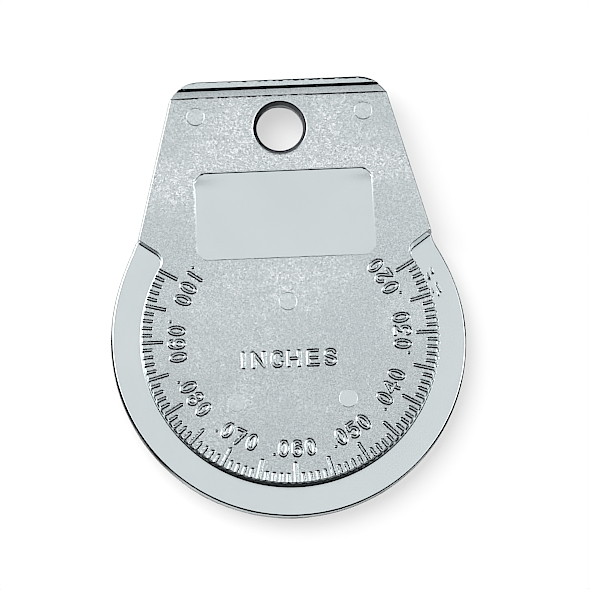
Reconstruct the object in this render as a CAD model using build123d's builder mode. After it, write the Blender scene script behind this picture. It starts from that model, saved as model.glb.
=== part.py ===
from build123d import *
import os
from math import sin, cos, tan, radians, degrees, hypot, atan2

# Ramp-type spark plug gap gauge, one zinc die casting. Millimetres.
# The origin is the centre of the round dial on the flat back face. +Y runs up the head to the hang hole, +Z out of the
# graduated front face. The measuring rim is centred on the parting plane, half way through the body.

# ---------------------------------------------------------------- driving dimensions
INCH = 25.4
BODY_T = 4.8                      # over the two flat faces
MID_Z = BODY_T / 2                # parting plane
DRAFT = 5.0                       # degrees, every outer wall of the body
EDGE_R = 0.12                     # tumbled edge round the flat faces

DISC_R = 17.0                     # raised dial, at the flat face
RIM_DRAFT = 4.0                   # degrees, slope of the rim's edge to each side of the parting plane
RIM_CHAMFER = 0.20                # worn edge between the rim's flanks and its edge
RIM_INNER_R = 12.0                # the rim's plate runs on inside the body to here

THIN = 0.020 * INCH               # rim thickness at the first graduation
THICK = 0.100 * INCH              # rim thickness at the last graduation
RAMP_START = 30.0                 # degrees from +X, first graduation (.020)
RAMP_SWEEP = 240.0                # degrees, clockwise to the last graduation (.100)
GRADUATIONS = 81                  # one for each thousandth of an inch
STEP_ANGLE = 35.7                 # degrees, radial wall where the rim stops against the head
STEP_FILLET = 1.3                 # inner corner of that wall

HEAD_X_LOW, HEAD_Y_LOW = 16.87, 12.11    # lower corner of the head, at the flat face
HEAD_X_TOP, HEAD_Y_TOP = 12.5, 28.68     # upper corner of the head
TOP_X, TOP_Y = 9.4, 30.56                # half the length of the head's straight end, and its place
CORNER_MID = (11.45, 29.82)              # a point on the rounded corner between them

CHANNEL_Y = 28.76                 # foot of the head's wall, which falls from HEAD_Y_TOP to the channel's floor
GROOVE_Y = 29.66                  # foot of the bending lip's wall
GROOVE_DEPTH = 0.9                # below the front face
LIP_WALL_Y = 29.80                # top of the bending lip's wall
LIP_DROP = 0.10                   # lip top, below the front face

HOLE_Y = 24.85                    # hang hole
HOLE_R = 2.70                     # at its narrowest
HOLE_LAND_LOW, HOLE_LAND_TOP = 3.3, 4.3  # the cylindrical land's two ends, above the back face
HOLE_FRONT_R = 3.10               # countersink at the front face
HOLE_BACK_R = 3.45                # cored taper at the back face

PANEL_X, PANEL_Y = 20.5, 10.2     # sunk panel
PANEL_CENTRE = (0.1, 14.6)
PANEL_DEPTH = 0.15
PANEL_CORNER = 0.9

MARK_H = 0.18                     # height of the raised graduations and figures
TICK_FOOT = 0.53
TICK_TAPER = 35.0                 # degrees, flank of a graduation
TICK_LONG_R = 14.49               # inner end of each fifth graduation
TICK_SHORT_R = 15.77              # inner end of the others
TICK_OUTER_R = 16.9
FIGURE_R = 13.0                   # middle of the dial's figures
FIGURE_PITCH = 6.84               # degrees between figures
FIGURE_SHIFT = 1.2                # degrees, middle figure past its graduation
DOT_R, DOT_SHIFT = 13.8, -11.1    # decimal point: radius, and degrees from the middle figure
DOT_SIZE = 0.24
STROKE = 0.42                     # width of a figure's raised stroke
UNIT_Y = -2.48                    # unit word under the dial's centre
UNIT_X = [-5.44, -3.65, -1.53, 0.37, 2.55, 4.58]

PIN_R = 1.02                      # ejector pin marks
PIN_DEPTH = 0.05
PIN_MARKS = [(-9.7, 26.43), (9.7, 26.43), (0.0, 4.26), (6.4, -7.37), (-6.4, -7.37)]

# measuring rim: radius of its edge by angle; at both ends it runs out to meet the corners of the head
RIM_EDGE = [(38.0, 20.74), (36.6, 20.79), (35.2, 20.77), (33.3, 20.53), (31.3, 20.43), (29.0, 20.40), (25.0, 20.37),
            (18.0, 20.36), (7.0, 20.38), (-6.0, 20.37), (-20.0, 20.40), (-34.0, 20.46), (-48.0, 20.52), (-62.0, 20.56),
            (-76.0, 20.57), (-90.0, 20.57), (-104.0, 20.56), (-118.0, 20.54), (-132.0, 20.51), (-146.0, 20.48),
            (-160.0, 20.46), (-173.0, 20.45), (-184.0, 20.46), (-192.0, 20.47), (-198.0, 20.49), (-203.0, 20.54),
            (-207.5, 20.62), (-211.5, 20.73), (-215.2, 20.96), (-216.6, 20.96), (-218.0, 20.91)]


def rim_thickness(angle):
    """Rim thickness at an angle in degrees from +X, growing clockwise from the first graduation."""
    return THIN + (THICK - THIN) * (RAMP_START - angle) / RAMP_SWEEP


def polar(radius, angle):
    return (radius * cos(radians(angle)), radius * sin(radians(angle)))


# ---------------------------------------------------------------- the casting
with BuildPart() as gauge_body:
    # Body: the outline at the front face, widening by the draft down to the parting plane, and the same below it
    with BuildSketch(Plane.XY.offset(BODY_T)):
        with BuildLine():
            right_in = polar(DISC_R, STEP_ANGLE)
            left_in = polar(DISC_R, 180 - STEP_ANGLE)
            ThreePointArc(right_in, (0, -DISC_R), left_in)
            Polyline(left_in, (-HEAD_X_LOW, HEAD_Y_LOW), (-HEAD_X_TOP, HEAD_Y_TOP))
            ThreePointArc((-HEAD_X_TOP, HEAD_Y_TOP), (-CORNER_MID[0], CORNER_MID[1]), (-TOP_X, TOP_Y))
            Line((-TOP_X, TOP_Y), (TOP_X, TOP_Y))
            ThreePointArc((TOP_X, TOP_Y), CORNER_MID, (HEAD_X_TOP, HEAD_Y_TOP))
            Polyline((HEAD_X_TOP, HEAD_Y_TOP), (HEAD_X_LOW, HEAD_Y_LOW), right_in)
        make_face()
        fillet([v for v in vertices() if hypot(v.X, v.Y) < DISC_R + 0.1], radius=STEP_FILLET)
        fillet([v for v in vertices() if abs(v.Y - HEAD_Y_LOW) < 0.1], radius=0.35)
        fillet([v for v in vertices() if abs(v.Y - HEAD_Y_TOP) < 0.1], radius=0.5)
        fillet([v for v in vertices() if abs(v.Y - TOP_Y) < 0.05 and abs(abs(v.X) - TOP_X) < 0.1], radius=1.5)
    extrude(amount=-MID_Z, taper=-DRAFT)
    mirror(about=Plane.XY.offset(MID_Z))

    # Tumbled edges round both flat faces
    fillet(edges().group_by(Axis.Z)[-1] + edges().group_by(Axis.Z)[0], radius=EDGE_R)

    # Bending lip: a flat channel with drafted walls, which leaves a lip along the head's end
    with BuildSketch(Plane.YZ):
        with BuildLine():
            Polyline((HEAD_Y_TOP, BODY_T), (CHANNEL_Y, BODY_T - GROOVE_DEPTH), (GROOVE_Y, BODY_T - GROOVE_DEPTH),
                     (LIP_WALL_Y, BODY_T - LIP_DROP),
                     (TOP_Y + 1.0, BODY_T - LIP_DROP), (TOP_Y + 1.0, BODY_T + 1.0), (HEAD_Y_TOP, BODY_T + 1.0), close=True)
        make_face()
    extrude(amount=16.0, both=True, mode=Mode.SUBTRACT)

    # Hang hole: a short cylindrical land near the front face, countersunk to the front and cored with a taper to the back
    with BuildSketch(Plane.YZ):
        with BuildLine():
            Polyline((HOLE_Y, 0), (HOLE_Y + HOLE_BACK_R, 0), (HOLE_Y + HOLE_R, HOLE_LAND_LOW),
                     (HOLE_Y + HOLE_R, HOLE_LAND_TOP), (HOLE_Y + HOLE_FRONT_R, BODY_T), (HOLE_Y, BODY_T), close=True)
        make_face()
    revolve(axis=Axis((0, HOLE_Y, 0), (0, 0, 1)), mode=Mode.SUBTRACT)

    # Sunk panel
    with BuildSketch(Plane.XY.offset(BODY_T)):
        with Locations(PANEL_CENTRE):
            RectangleRounded(PANEL_X, PANEL_Y, PANEL_CORNER)
    extrude(amount=-PANEL_DEPTH, taper=20, mode=Mode.SUBTRACT)

    # Ejector pin marks
    with BuildSketch(Plane.XY.offset(BODY_T)):
        with Locations(*PIN_MARKS):
            Circle(PIN_R)
    extrude(amount=-PIN_DEPTH, mode=Mode.SUBTRACT)

body_volume = gauge_body.part.volume

# Measuring rim: lofted through radial sections whose thickness grows evenly with the angle
with BuildPart() as rim:
    for angle, edge in RIM_EDGE:
        half = rim_thickness(angle) / 2
        worn = min(RIM_CHAMFER, 0.5 * half)
        wall = half - worn
        section = Plane(origin=(0, 0, MID_Z), x_dir=(cos(radians(angle)), sin(radians(angle)), 0),
                        z_dir=(sin(radians(angle)), -cos(radians(angle)), 0))
        with BuildSketch(section):
            with BuildLine():
                Polyline((RIM_INNER_R, -half), (edge - worn, -half), (edge, -wall), (edge + wall * tan(radians(RIM_DRAFT)), 0),
                         (edge, wall), (edge - worn, half), (RIM_INNER_R, half), close=True)
            make_face()
    loft()

print("body", round(body_volume, 2), "rim plate", round(rim.part.volume, 2), "valid", rim.part.is_valid)

with gauge_body:
    add(rim.part)
print("fused", round(gauge_body.part.volume, 2), "solids", len(gauge_body.part.solids()), "valid", gauge_body.part.is_valid)

# ---------------------------------------------------------------- raised graduations and figures
with BuildPart() as ticks:
    with BuildSketch(Plane.XY.offset(BODY_T - 0.001)):
        for i in range(GRADUATIONS):
            inner = TICK_LONG_R if i % 5 == 0 else TICK_SHORT_R
            angle = RAMP_START - i * RAMP_SWEEP / (GRADUATIONS - 1)
            with Locations(Location((*polar((inner + TICK_OUTER_R) / 2, angle), 0), (0, 0, angle))):
                Rectangle(TICK_OUTER_R - inner, TICK_FOOT)
    extrude(amount=MARK_H, taper=TICK_TAPER)
print("ticks", round(ticks.part.volume, 3), "solids", len(ticks.part.solids()))

with gauge_body:
    add(ticks.part)
print("fused", round(gauge_body.part.volume, 2), "solids", len(gauge_body.part.solids()), "valid", gauge_body.part.is_valid)

# Stroke figures, drawn about their own middle: runs of points along the middle of each stroke, and ovals (x, y, half width,
# half height)
RUNS = {
    "1": [[(0, 0.84), (0, -0.84)]],
    "2": [[(-0.42, 0.44), (-0.30, 0.74), (0, 0.84), (0.30, 0.74), (0.42, 0.44), (0.28, 0.12), (-0.44, -0.84), (0.46, -0.84)]],
    "3": [[(-0.42, 0.84), (0.42, 0.84), (-0.04, 0.20), (0.26, 0.12), (0.44, -0.12), (0.44, -0.46), (0.28, -0.74), (0, -0.84),
           (-0.28, -0.76), (-0.42, -0.56)]],
    "4": [[(0.20, -0.84), (0.20, 0.84), (-0.56, -0.24), (0.52, -0.24)]],
    "5": [[(0.42, 0.84), (-0.32, 0.84), (-0.38, 0.14), (-0.10, 0.26), (0.22, 0.20), (0.42, -0.06), (0.44, -0.40),
           (0.28, -0.74), (0, -0.84), (-0.28, -0.76), (-0.42, -0.56)]],
    "6": [[(0.40, 0.56), (0.26, 0.77), (0, 0.84), (-0.26, 0.72), (-0.40, 0.40), (-0.43, 0.0), (-0.43, -0.30)]],
    "7": [[(-0.46, 0.84), (0.46, 0.84), (-0.10, -0.84)]],
    "8": [],
    "9": [[(-0.40, -0.56), (-0.26, -0.77), (0, -0.84), (0.26, -0.72), (0.40, -0.40), (0.43, 0.0), (0.43, 0.30)]],
    "0": [],
    "I": [[(0, 0.84), (0, -0.84)]],
    "N": [[(-0.60, -0.84), (-0.60, 0.84), (0.60, -0.84), (0.60, 0.84)]],
    "C": [[(0.50, 0.44), (0.34, 0.74), (0, 0.84), (-0.32, 0.74), (-0.50, 0.42), (-0.54, 0), (-0.50, -0.42), (-0.32, -0.74),
           (0, -0.84), (0.34, -0.74), (0.50, -0.44)]],
    "H": [[(-0.60, 0.84), (-0.60, -0.84)], [(0.60, 0.84), (0.60, -0.84)], [(-0.60, 0), (0.60, 0)]],
    "E": [[(0.56, 0.84), (-0.50, 0.84), (-0.50, -0.84), (0.56, -0.84)], [(-0.50, 0), (0.44, 0)]],
    "S": [[(0.50, 0.50), (0.32, 0.77), (0, 0.84), (-0.34, 0.76), (-0.50, 0.46), (-0.36, 0.16), (0.36, -0.14), (0.52, -0.44),
           (0.34, -0.76), (0, -0.84), (-0.34, -0.77), (-0.52, -0.50)]],
}
OVALS = {"0": [(0, 0, 0.42, 0.84)], "6": [(0, -0.33, 0.43, 0.51)], "9": [(0, 0.33, 0.43, 0.51)],
         "8": [(0, 0.44, 0.37, 0.40), (0, -0.38, 0.44, 0.46)]}


def placed(figure, x, y, turn):
    """The figure's runs and ovals, turned and moved to their place on the face."""
    c, s = cos(radians(turn)), sin(radians(turn))
    move = lambda u, v: (x + u * c - v * s, y + u * s + v * c)
    return ([[move(u, v) for u, v in run] for run in RUNS[figure]],
            [(*move(u, v), a, b) for u, v, a, b in OVALS.get(figure, [])])


figures, dots = [], []
for k in range(9):
    value = 20 + 10 * k
    tick = RAMP_START - 3.0 * (value - 20)
    for n, figure in enumerate(f"{value:03d}"):
        angle = tick + FIGURE_SHIFT + (n - 1) * FIGURE_PITCH
        figures.append((figure, *polar(FIGURE_R, angle), angle + 90))
    dots.append(polar(DOT_R, tick + FIGURE_SHIFT + DOT_SHIFT + (1.2 if value == 100 else 0)))
for letter, x in zip("INCHES", UNIT_X):
    figures.append((letter, x, UNIT_Y, 0))

with BuildPart() as raised:
    with BuildSketch(Plane.XY.offset(BODY_T - 0.001)):
        for figure, x, y, turn in figures:
            runs, ovals = placed(figure, x, y, turn)
            for u, v, a, b in ovals:
                with Locations(Location((u, v, 0), (0, 0, turn))):
                    Ellipse(a + STROKE / 2, b + STROKE / 2)
                    Ellipse(a - STROKE / 2, b - STROKE / 2, mode=Mode.SUBTRACT)
            for run in runs:
                for (x0, y0), (x1, y1) in zip(run, run[1:]):
                    with Locations(Location(((x0 + x1) / 2, (y0 + y1) / 2, 0), (0, 0, degrees(atan2(y1 - y0, x1 - x0))))):
                        SlotCenterToCenter(hypot(x1 - x0, y1 - y0), STROKE)
        with Locations(*dots):
            Circle(DOT_SIZE)
    extrude(amount=MARK_H)
print("raised", round(raised.part.volume, 3), "solids", len(raised.part.solids()))

with gauge_body:
    add(raised.part)
print("fused", round(gauge_body.part.volume, 2), "solids", len(gauge_body.part.solids()), "valid", gauge_body.part.is_valid)

gauge_body.part.label = "gauge_body"
os.makedirs("parts", exist_ok=True)
export_step(gauge_body.part, "parts/gauge_body.step")
bb = gauge_body.part.bounding_box()
print("box", bb.min, bb.max)
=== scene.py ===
import bpy, math
import numpy as np
from mathutils import Matrix, Vector, kdtree
from mathutils.geometry import delaunay_2d_cdt


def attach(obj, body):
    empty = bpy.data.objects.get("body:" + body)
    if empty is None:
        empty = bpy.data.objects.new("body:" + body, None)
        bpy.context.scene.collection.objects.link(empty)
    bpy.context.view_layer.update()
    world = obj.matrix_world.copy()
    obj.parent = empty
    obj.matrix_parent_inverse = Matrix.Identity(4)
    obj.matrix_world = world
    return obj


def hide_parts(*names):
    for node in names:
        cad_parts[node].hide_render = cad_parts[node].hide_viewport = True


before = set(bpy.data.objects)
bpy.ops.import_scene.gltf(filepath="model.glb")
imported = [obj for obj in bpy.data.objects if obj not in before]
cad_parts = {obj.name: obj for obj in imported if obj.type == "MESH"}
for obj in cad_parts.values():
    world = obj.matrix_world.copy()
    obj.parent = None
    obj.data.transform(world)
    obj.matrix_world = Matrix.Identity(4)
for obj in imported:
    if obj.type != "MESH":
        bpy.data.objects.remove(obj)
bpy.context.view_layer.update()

# The whole casting is one mesh, shaped in millimetres about the parting plane and built in metres. Its front and
# its back are height fields over the plan view: every wall of the casting is drafted, so nothing on it overhangs,
# except the hang hole's short cylindrical land, which joins the two.

# ------------------------------------------------------------------------------------------------ dimensions (mm)
INCH = 25.4
HALF_T = 2.4                                  # half the body's thickness
TAN_D = math.tan(math.radians(5.0))           # draft of the body's walls
DISC_R = 17.0
TAN_C, TAN_UNDER = 0.112, 0.035               # the rim's edge leans in by this much, on average, above and below the parting plane
THIN, THICK = 0.020 * INCH, 0.100 * INCH
RAMP_START, RAMP_SWEEP = 30.0, 240.0
STEP_ANGLE = math.radians(35.7)
LOW, TOP = (16.87, 12.11), (12.5, 28.68)
END_X, END_Y, CORNER_MID = 9.4, 30.56, (11.45, 29.82)
HOLE_Y, HOLE_R, HOLE_FRONT_R, HOLE_BACK_R = 24.85, 2.70, 3.10, 3.45
LAND_TOP, LAND_LOW = 1.9, 0.9                 # the hole's cylindrical land, above the parting plane
PANEL = (0.1, 14.6, 10.25, 5.1, 0.82)         # middle, half sizes, corner
PANEL_DEPTH = 0.15
MARK_H = 0.130                                # height of the raised marks
MARK_ROWS = (0.06, 0.11, 0.16, 0.21, 0.27, 0.32, 0.37)
MARK_THIN = 1.38                              # the strokes are this much narrower along Y than along X
TICK_LONG_R, TICK_SHORT_R = 14.52, 15.80
FIGURE_R, FIGURE_PITCH, FIGURE_SHIFT = 13.0, 6.84, 1.2
DOT_R, DOT_SHIFT = 13.8, -11.1
UNIT_Y, UNIT_X = -2.48, (-5.44, -3.65, -1.53, 0.37, 2.55, 4.58)
PIN_R = 1.02
PINS = ((-9.7, 26.43), (9.7, 26.43), (0.0, 4.26), (6.4, -7.37), (-6.4, -7.37))
SCARS = (((17.32, 5.93), (17.67, 5.22), 0.060, 0.100),
         ((16.75, 7.81), (16.89, 7.5), 0.055, 0.095),
         ((16.32, 7.24), (16.49, 6.93), 0.055, 0.095),
         ((16.68, 5.5), (16.86, 5.11), 0.040, 0.090),
         ((17.33, 5.14), (17.47, 4.82), 0.035, 0.100),
         ((-1.18, -6.22), (-1.64, -8.07), 0.012, 0.060))     # nicks on the rim and a scratch: ends, depth, width
RIM_EDGE = ((38.0, 20.74), (36.6, 20.79), (35.2, 20.77), (33.3, 20.53), (31.3, 20.43), (29.0, 20.40), (25.0, 20.37), (18.0, 20.36),
            (7.0, 20.38), (-6.0, 20.37), (-20.0, 20.40), (-34.0, 20.46), (-48.0, 20.52), (-62.0, 20.56), (-76.0, 20.57),
            (-90.0, 20.57), (-104.0, 20.56), (-118.0, 20.54), (-132.0, 20.51), (-146.0, 20.48), (-160.0, 20.46), (-173.0, 20.45),
            (-184.0, 20.46), (-192.0, 20.47), (-198.0, 20.49), (-203.0, 20.54), (-207.5, 20.62), (-211.5, 20.73), (-215.2, 20.96),
            (-216.6, 20.96), (-218.0, 20.91))     # radius of the rim's edge by angle; it runs out to the head's corners


# ------------------------------------------------------------------------------------------------ outline of the body
def unit(v):
    return v / np.hypot(v[0], v[1])


class Seg:
    def __init__(self, p, q):
        self.p, self.q = np.array(p, float), np.array(q, float)
        d = unit(self.q - self.p)
        self.n = np.array([d[1], -d[0]])

    def dist(self, x):
        return (x - self.p) @ self.n

    def foot(self, x):
        return x - self.n * self.dist(x)

    def points(self, step):
        k = max(2, int(np.hypot(*(self.q - self.p)) / step) + 1)
        t = np.linspace(0, 1, k)[:-1, None]
        return self.p + (self.q - self.p) * t


class Arc:
    """Arc from p to q about c; turn is +1 counterclockwise, -1 clockwise."""
    def __init__(self, c, p, q, turn):
        self.c, self.p, self.q, self.turn = (np.array(v, float) for v in (c, p, q, turn))
        self.r = np.hypot(*(self.p - self.c))

    def dist(self, x):
        return np.hypot(*(x - self.c)) - self.r

    def foot(self, x):
        return self.c + unit(x - self.c) * self.r

    def points(self, step):
        a0 = math.atan2(*(self.p - self.c)[::-1])
        a1 = math.atan2(*(self.q - self.c)[::-1])
        sweep = (a1 - a0) * float(self.turn) % (2 * math.pi)
        k = max(5, int(sweep * self.r / step) + 1)
        a = a0 + float(self.turn) * np.linspace(0, sweep, k)[:-1]
        return self.c + self.r * np.stack([np.cos(a), np.sin(a)], 1)


def three_point(p, m, q):
    (ax, ay), (bx, by), (cx, cy) = p, m, q
    d = 2 * (ax * (by - cy) + bx * (cy - ay) + cx * (ay - by))
    ux = ((ax * ax + ay * ay) * (by - cy) + (bx * bx + by * by) * (cy - ay) + (cx * cx + cy * cy) * (ay - by)) / d
    uy = ((ax * ax + ay * ay) * (cx - bx) + (bx * bx + by * by) * (ax - cx) + (cx * cx + cy * cy) * (bx - ax)) / d
    return ux, uy


def rounded(a, b, radius, guess, turn):
    """Round the corner between two stretches of outline with an arc whose middle lies near guess."""
    x = np.array(guess, float)
    want = np.array([math.copysign(radius, a.dist(x)), math.copysign(radius, b.dist(x))])
    for _ in range(30):
        f = np.array([a.dist(x), b.dist(x)]) - want
        e = 1e-6
        jac = np.array([[(s.dist(x + v) - s.dist(x)) / e for v in (np.array([e, 0]), np.array([0, e]))] for s in (a, b)])
        x = x - np.linalg.solve(jac, f)
    p, q = a.foot(x), b.foot(x)
    a.q, b.p = p, q
    return Arc(x, p, q, turn)


def body_outline(step):
    """Counterclockwise outline at the flat face, as points and outward normals."""
    s, c = math.sin(STEP_ANGLE), math.cos(STEP_ANGLE)
    disc = Arc((0, 0), (0, -DISC_R), (DISC_R * c, DISC_R * s), 1)
    step_wall = Seg((DISC_R * c, DISC_R * s), LOW)
    side = Seg(LOW, TOP)
    mid = three_point(TOP, CORNER_MID, (END_X, END_Y))
    corner = Arc(mid, TOP, (END_X, END_Y), 1)
    end = Seg((END_X, END_Y), (0, END_Y))
    chain = [disc, rounded(disc, step_wall, 1.3, (18.3 * c + 1.3 * s, 18.3 * s - 1.3 * c), -1), step_wall]
    chain += [rounded(step_wall, side, 0.35, (16.4, 12.4), 1), side, rounded(side, corner, 0.5, (12.0, 28.5), 1), corner,
              rounded(corner, end, 1.5, (9.2, 29.1), 1), end]
    pts = np.concatenate([e.points(min(step, 0.04 if isinstance(e, Arc) and e.r < 2 else step)) for e in chain])
    left = pts[1:][::-1] * (-1, 1)
    top = np.array([[0.0, END_Y]])
    pts = np.concatenate([pts, top, left])
    keep = np.concatenate([[True], np.hypot(*np.diff(pts, axis=0).T) > 1e-4])
    pts = pts[keep]
    d = np.roll(pts, -1, 0) - np.roll(pts, 1, 0)
    d /= np.hypot(d[:, 0], d[:, 1])[:, None]
    return pts, np.stack([d[:, 1], -d[:, 0]], 1)


class Outline:
    """Signed distance to a closed counterclockwise line of points, negative inside."""
    def __init__(self, pts):
        self.pts = pts
        self.next = np.roll(pts, -1, 0)
        self.tree = kdtree.KDTree(len(pts))
        for i, p in enumerate(pts):
            self.tree.insert((p[0], p[1], 0), i)
        self.tree.balance()

    def __call__(self, xy):
        find = self.tree.find
        idx = np.fromiter((find((x, y, 0))[1] for x, y in xy), int, len(xy))
        best = np.full(len(xy), 1e9)
        sign = np.ones(len(xy))
        for k in (-1, 0):
            i = (idx + k) % len(self.pts)
            p, q = self.pts[i], self.next[i]
            d = q - p
            t = np.clip(((xy - p) * d).sum(1) / (d * d).sum(1), 0, 1)
            r = xy - (p + d * t[:, None])
            dist = np.hypot(r[:, 0], r[:, 1])
            cross = d[:, 1] * (xy - p)[:, 0] - d[:, 0] * (xy - p)[:, 1]
            near = dist < best
            best = np.where(near, dist, best)
            sign = np.where(near, np.where(cross > 0, 1.0, -1.0), sign)
        return best * sign


BODY_PTS, BODY_N = body_outline(0.12)
body_sdf = Outline(BODY_PTS)


# ------------------------------------------------------------------------------------------------ raised marks
def spline(points, step=0.05, smooth=True):
    """Points along a run of stroke points: through them on a smooth curve, or straight from one to the next."""
    p = np.array(points, float)
    if not smooth or len(p) < 3:
        out = []
        for a, b in zip(p, p[1:]):
            k = max(1, int(np.hypot(*(b - a)) / step))
            out.append(a + (b - a) * np.linspace(0, 1, k, endpoint=False)[:, None])
        return np.concatenate(out + [p[-1:]])
    ext = np.concatenate([[2 * p[0] - p[1]], p, [2 * p[-1] - p[-2]]])
    out = []
    for i in range(1, len(ext) - 2):
        a, b, c, d = ext[i - 1:i + 3]
        k = max(2, int(np.hypot(*(c - b)) / step))
        t = np.linspace(0, 1, k, endpoint=False)[:, None]
        out.append(0.5 * (2 * b + (c - a) * t + (2 * a - 5 * b + 4 * c - d) * t ** 2 + (3 * b - a - 3 * c + d) * t ** 3))
    return np.concatenate(out + [p[-1:]])


def oval(x, y, a, b, step=0.05):
    k = int(2 * math.pi * math.sqrt((a * a + b * b) / 2) / step)
    t = np.linspace(0, 2 * math.pi, k + 1)
    return np.stack([x + a * np.cos(t), y + b * np.sin(t)], 1)


S, C = False, True        # straight run, curved run
FIGURES = {
    "1": [(S, [(0, 0.84), (0, -0.84)])],
    "2": [(C, [(-0.42, 0.42), (-0.31, 0.72), (0, 0.85), (0.31, 0.74), (0.42, 0.44), (0.28, 0.10), (-0.10, -0.38), (-0.44, -0.84)]),
          (S, [(-0.44, -0.84), (0.46, -0.84)])],
    "3": [(S, [(-0.42, 0.84), (0.42, 0.84), (-0.04, 0.20)]),
          (C, [(-0.04, 0.20), (0.26, 0.12), (0.44, -0.12), (0.45, -0.44), (0.30, -0.72), (0, -0.84), (-0.28, -0.77), (-0.43, -0.56)])],
    "4": [(S, [(0.20, -0.84), (0.20, 0.84), (-0.56, -0.24), (0.52, -0.24)])],
    "5": [(S, [(0.42, 0.84), (-0.32, 0.84), (-0.38, 0.14)]),
          (C, [(-0.38, 0.14), (-0.10, 0.27), (0.22, 0.20), (0.42, -0.06), (0.44, -0.40), (0.29, -0.72), (0, -0.84), (-0.28, -0.77), (-0.43, -0.56)])],
    "6": [(C, [(0.40, 0.56), (0.26, 0.77), (0, 0.85), (-0.26, 0.72), (-0.40, 0.40), (-0.43, 0.0), (-0.43, -0.33)])],
    "7": [(S, [(-0.46, 0.84), (0.46, 0.84), (-0.10, -0.84)])],
    "8": [],
    "9": [(C, [(-0.40, -0.56), (-0.26, -0.77), (0, -0.85), (0.26, -0.72), (0.40, -0.40), (0.43, 0.0), (0.43, 0.33)])],
    "0": [],
    "I": [(S, [(0, 0.84), (0, -0.84)])],
    "N": [(S, [(-0.60, -0.84), (-0.60, 0.84), (0.60, -0.84), (0.60, 0.84)])],
    "C": [(C, [(0.52, 0.44), (0.34, 0.73), (0, 0.85), (-0.33, 0.74), (-0.50, 0.42), (-0.55, 0), (-0.50, -0.42), (-0.33, -0.74),
               (0, -0.85), (0.34, -0.73), (0.52, -0.44)])],
    "H": [(S, [(-0.60, 0.84), (-0.60, -0.84)]), (S, [(0.60, 0.84), (0.60, -0.84)]), (S, [(-0.60, 0), (0.60, 0)])],
    "E": [(S, [(0.56, 0.84), (-0.50, 0.84), (-0.50, -0.84), (0.56, -0.84)]), (S, [(-0.50, 0), (0.44, 0)])],
    "S": [(C, [(0.51, 0.50), (0.32, 0.77), (0, 0.85), (-0.34, 0.76), (-0.50, 0.46), (-0.36, 0.16), (0.36, -0.14), (0.52, -0.44),
               (0.34, -0.76), (0, -0.85), (-0.34, -0.77), (-0.53, -0.50)])],
}
OVALS = {"0": [(0, 0, 0.42, 0.84)], "6": [(0, -0.33, 0.43, 0.51)], "9": [(0, 0.33, 0.43, 0.51)],
         "8": [(0, 0.44, 0.37, 0.40), (0, -0.38, 0.44, 0.46)]}


def turn(pts, x, y, angle):
    c, s = math.cos(angle), math.sin(angle)
    return np.stack([x + pts[:, 0] * c - pts[:, 1] * s, y + pts[:, 0] * s + pts[:, 1] * c], 1)


def all_marks():
    """Every raised mark as a line of points along the middle of its stroke, each paired with the number 1.0."""
    marks = []
    for i in range(81):
        a = math.radians(RAMP_START - 3.0 * i)
        inner = TICK_LONG_R if i % 5 == 0 else TICK_SHORT_R
        u = np.array([math.cos(a), math.sin(a)])
        r = np.arange(inner + 0.20, DISC_R + 0.35, 0.12)[:, None]
        marks.append((r * u, 1.0))
    for k in range(9):
        value = 20 + 10 * k
        tick = RAMP_START - 3.0 * (value - 20)
        for n, fig in enumerate(f"{value:03d}"):
            a = math.radians(tick + FIGURE_SHIFT + (n - 1) * FIGURE_PITCH)
            place = (FIGURE_R * math.cos(a), FIGURE_R * math.sin(a), a + math.pi / 2)
            runs = [spline(p, smooth=kind) for kind, p in FIGURES[fig]] + [oval(*o) for o in OVALS.get(fig, [])]
            marks += [(turn(r, *place), 1.0) for r in runs]
        a = math.radians(tick + FIGURE_SHIFT + DOT_SHIFT + (1.2 if value == 100 else 0))
        marks.append((np.array([[DOT_R * math.cos(a), DOT_R * math.sin(a)]]), 1.0))
    for letter, x in zip("INCHES", UNIT_X):
        runs = [spline(p, smooth=kind) for kind, p in FIGURES[letter]]
        marks += [(turn(r, x, UNIT_Y, 0), 1.0) for r in runs]
    return marks


MARKS = all_marks()
_lines, _dots = [], set()
for pts, _ in MARKS:
    if len(pts) == 1:
        _dots.add(len(_lines))
        _lines.append((pts[0], pts[0] + 1e-6))
    for a, b in zip(pts, pts[1:]):
        _lines.append((a, b))
MARK_A = np.array([a for a, _ in _lines])
MARK_B = np.array([b for _, b in _lines])
MARK_TREE = kdtree.KDTree(len(MARK_A))
for i, m in enumerate((MARK_A + MARK_B) / 2):
    MARK_TREE.insert((m[0], m[1], 0), i)
MARK_TREE.balance()


def mark_distance(xy):
    """Distance to the middle line of the nearest raised mark."""
    out = np.full(len(xy), 9.0)
    find_n = MARK_TREE.find_n
    for j, (x, y) in enumerate(xy):
        best = 81.0
        for _, i, dd in find_n((x, y, 0), 4):
            if dd > 0.8:
                break
            ax, ay = MARK_A[i]
            bx, by = MARK_B[i]
            dx, dy = bx - ax, by - ay
            t = ((x - ax) * dx + (y - ay) * dy) / (dx * dx + dy * dy)
            t = 0.0 if t < 0 else 1.0 if t > 1 else t
            ex, ey = x - ax - dx * t, y - ay - dy * t
            ey *= MARK_THIN
            e = ex * ex + ey * ey
            if i in _dots:
                e *= 1.8
            if e < best:
                best = e
        out[j] = math.sqrt(best)
    return out


# ------------------------------------------------------------------------------------------------ height fields
def drop(x, r, slope):
    """Height lost past the corner between a level face and a wall of that slope, the corner rounded to r. x runs out
    from where the two planes meet."""
    t = r * math.tan(slope / 2)
    arc = -r + np.sqrt(np.maximum(r * r - (x + t) ** 2, 0.0))
    return np.where(x < -t, 0.0, np.where(x < r * math.sin(slope) - t, arc, -x * math.tan(slope)))


def ease(lo, hi, x):
    t = np.clip((x - lo) / (hi - lo), 0.0, 1.0)
    return t * t * (3 - 2 * t)


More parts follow.
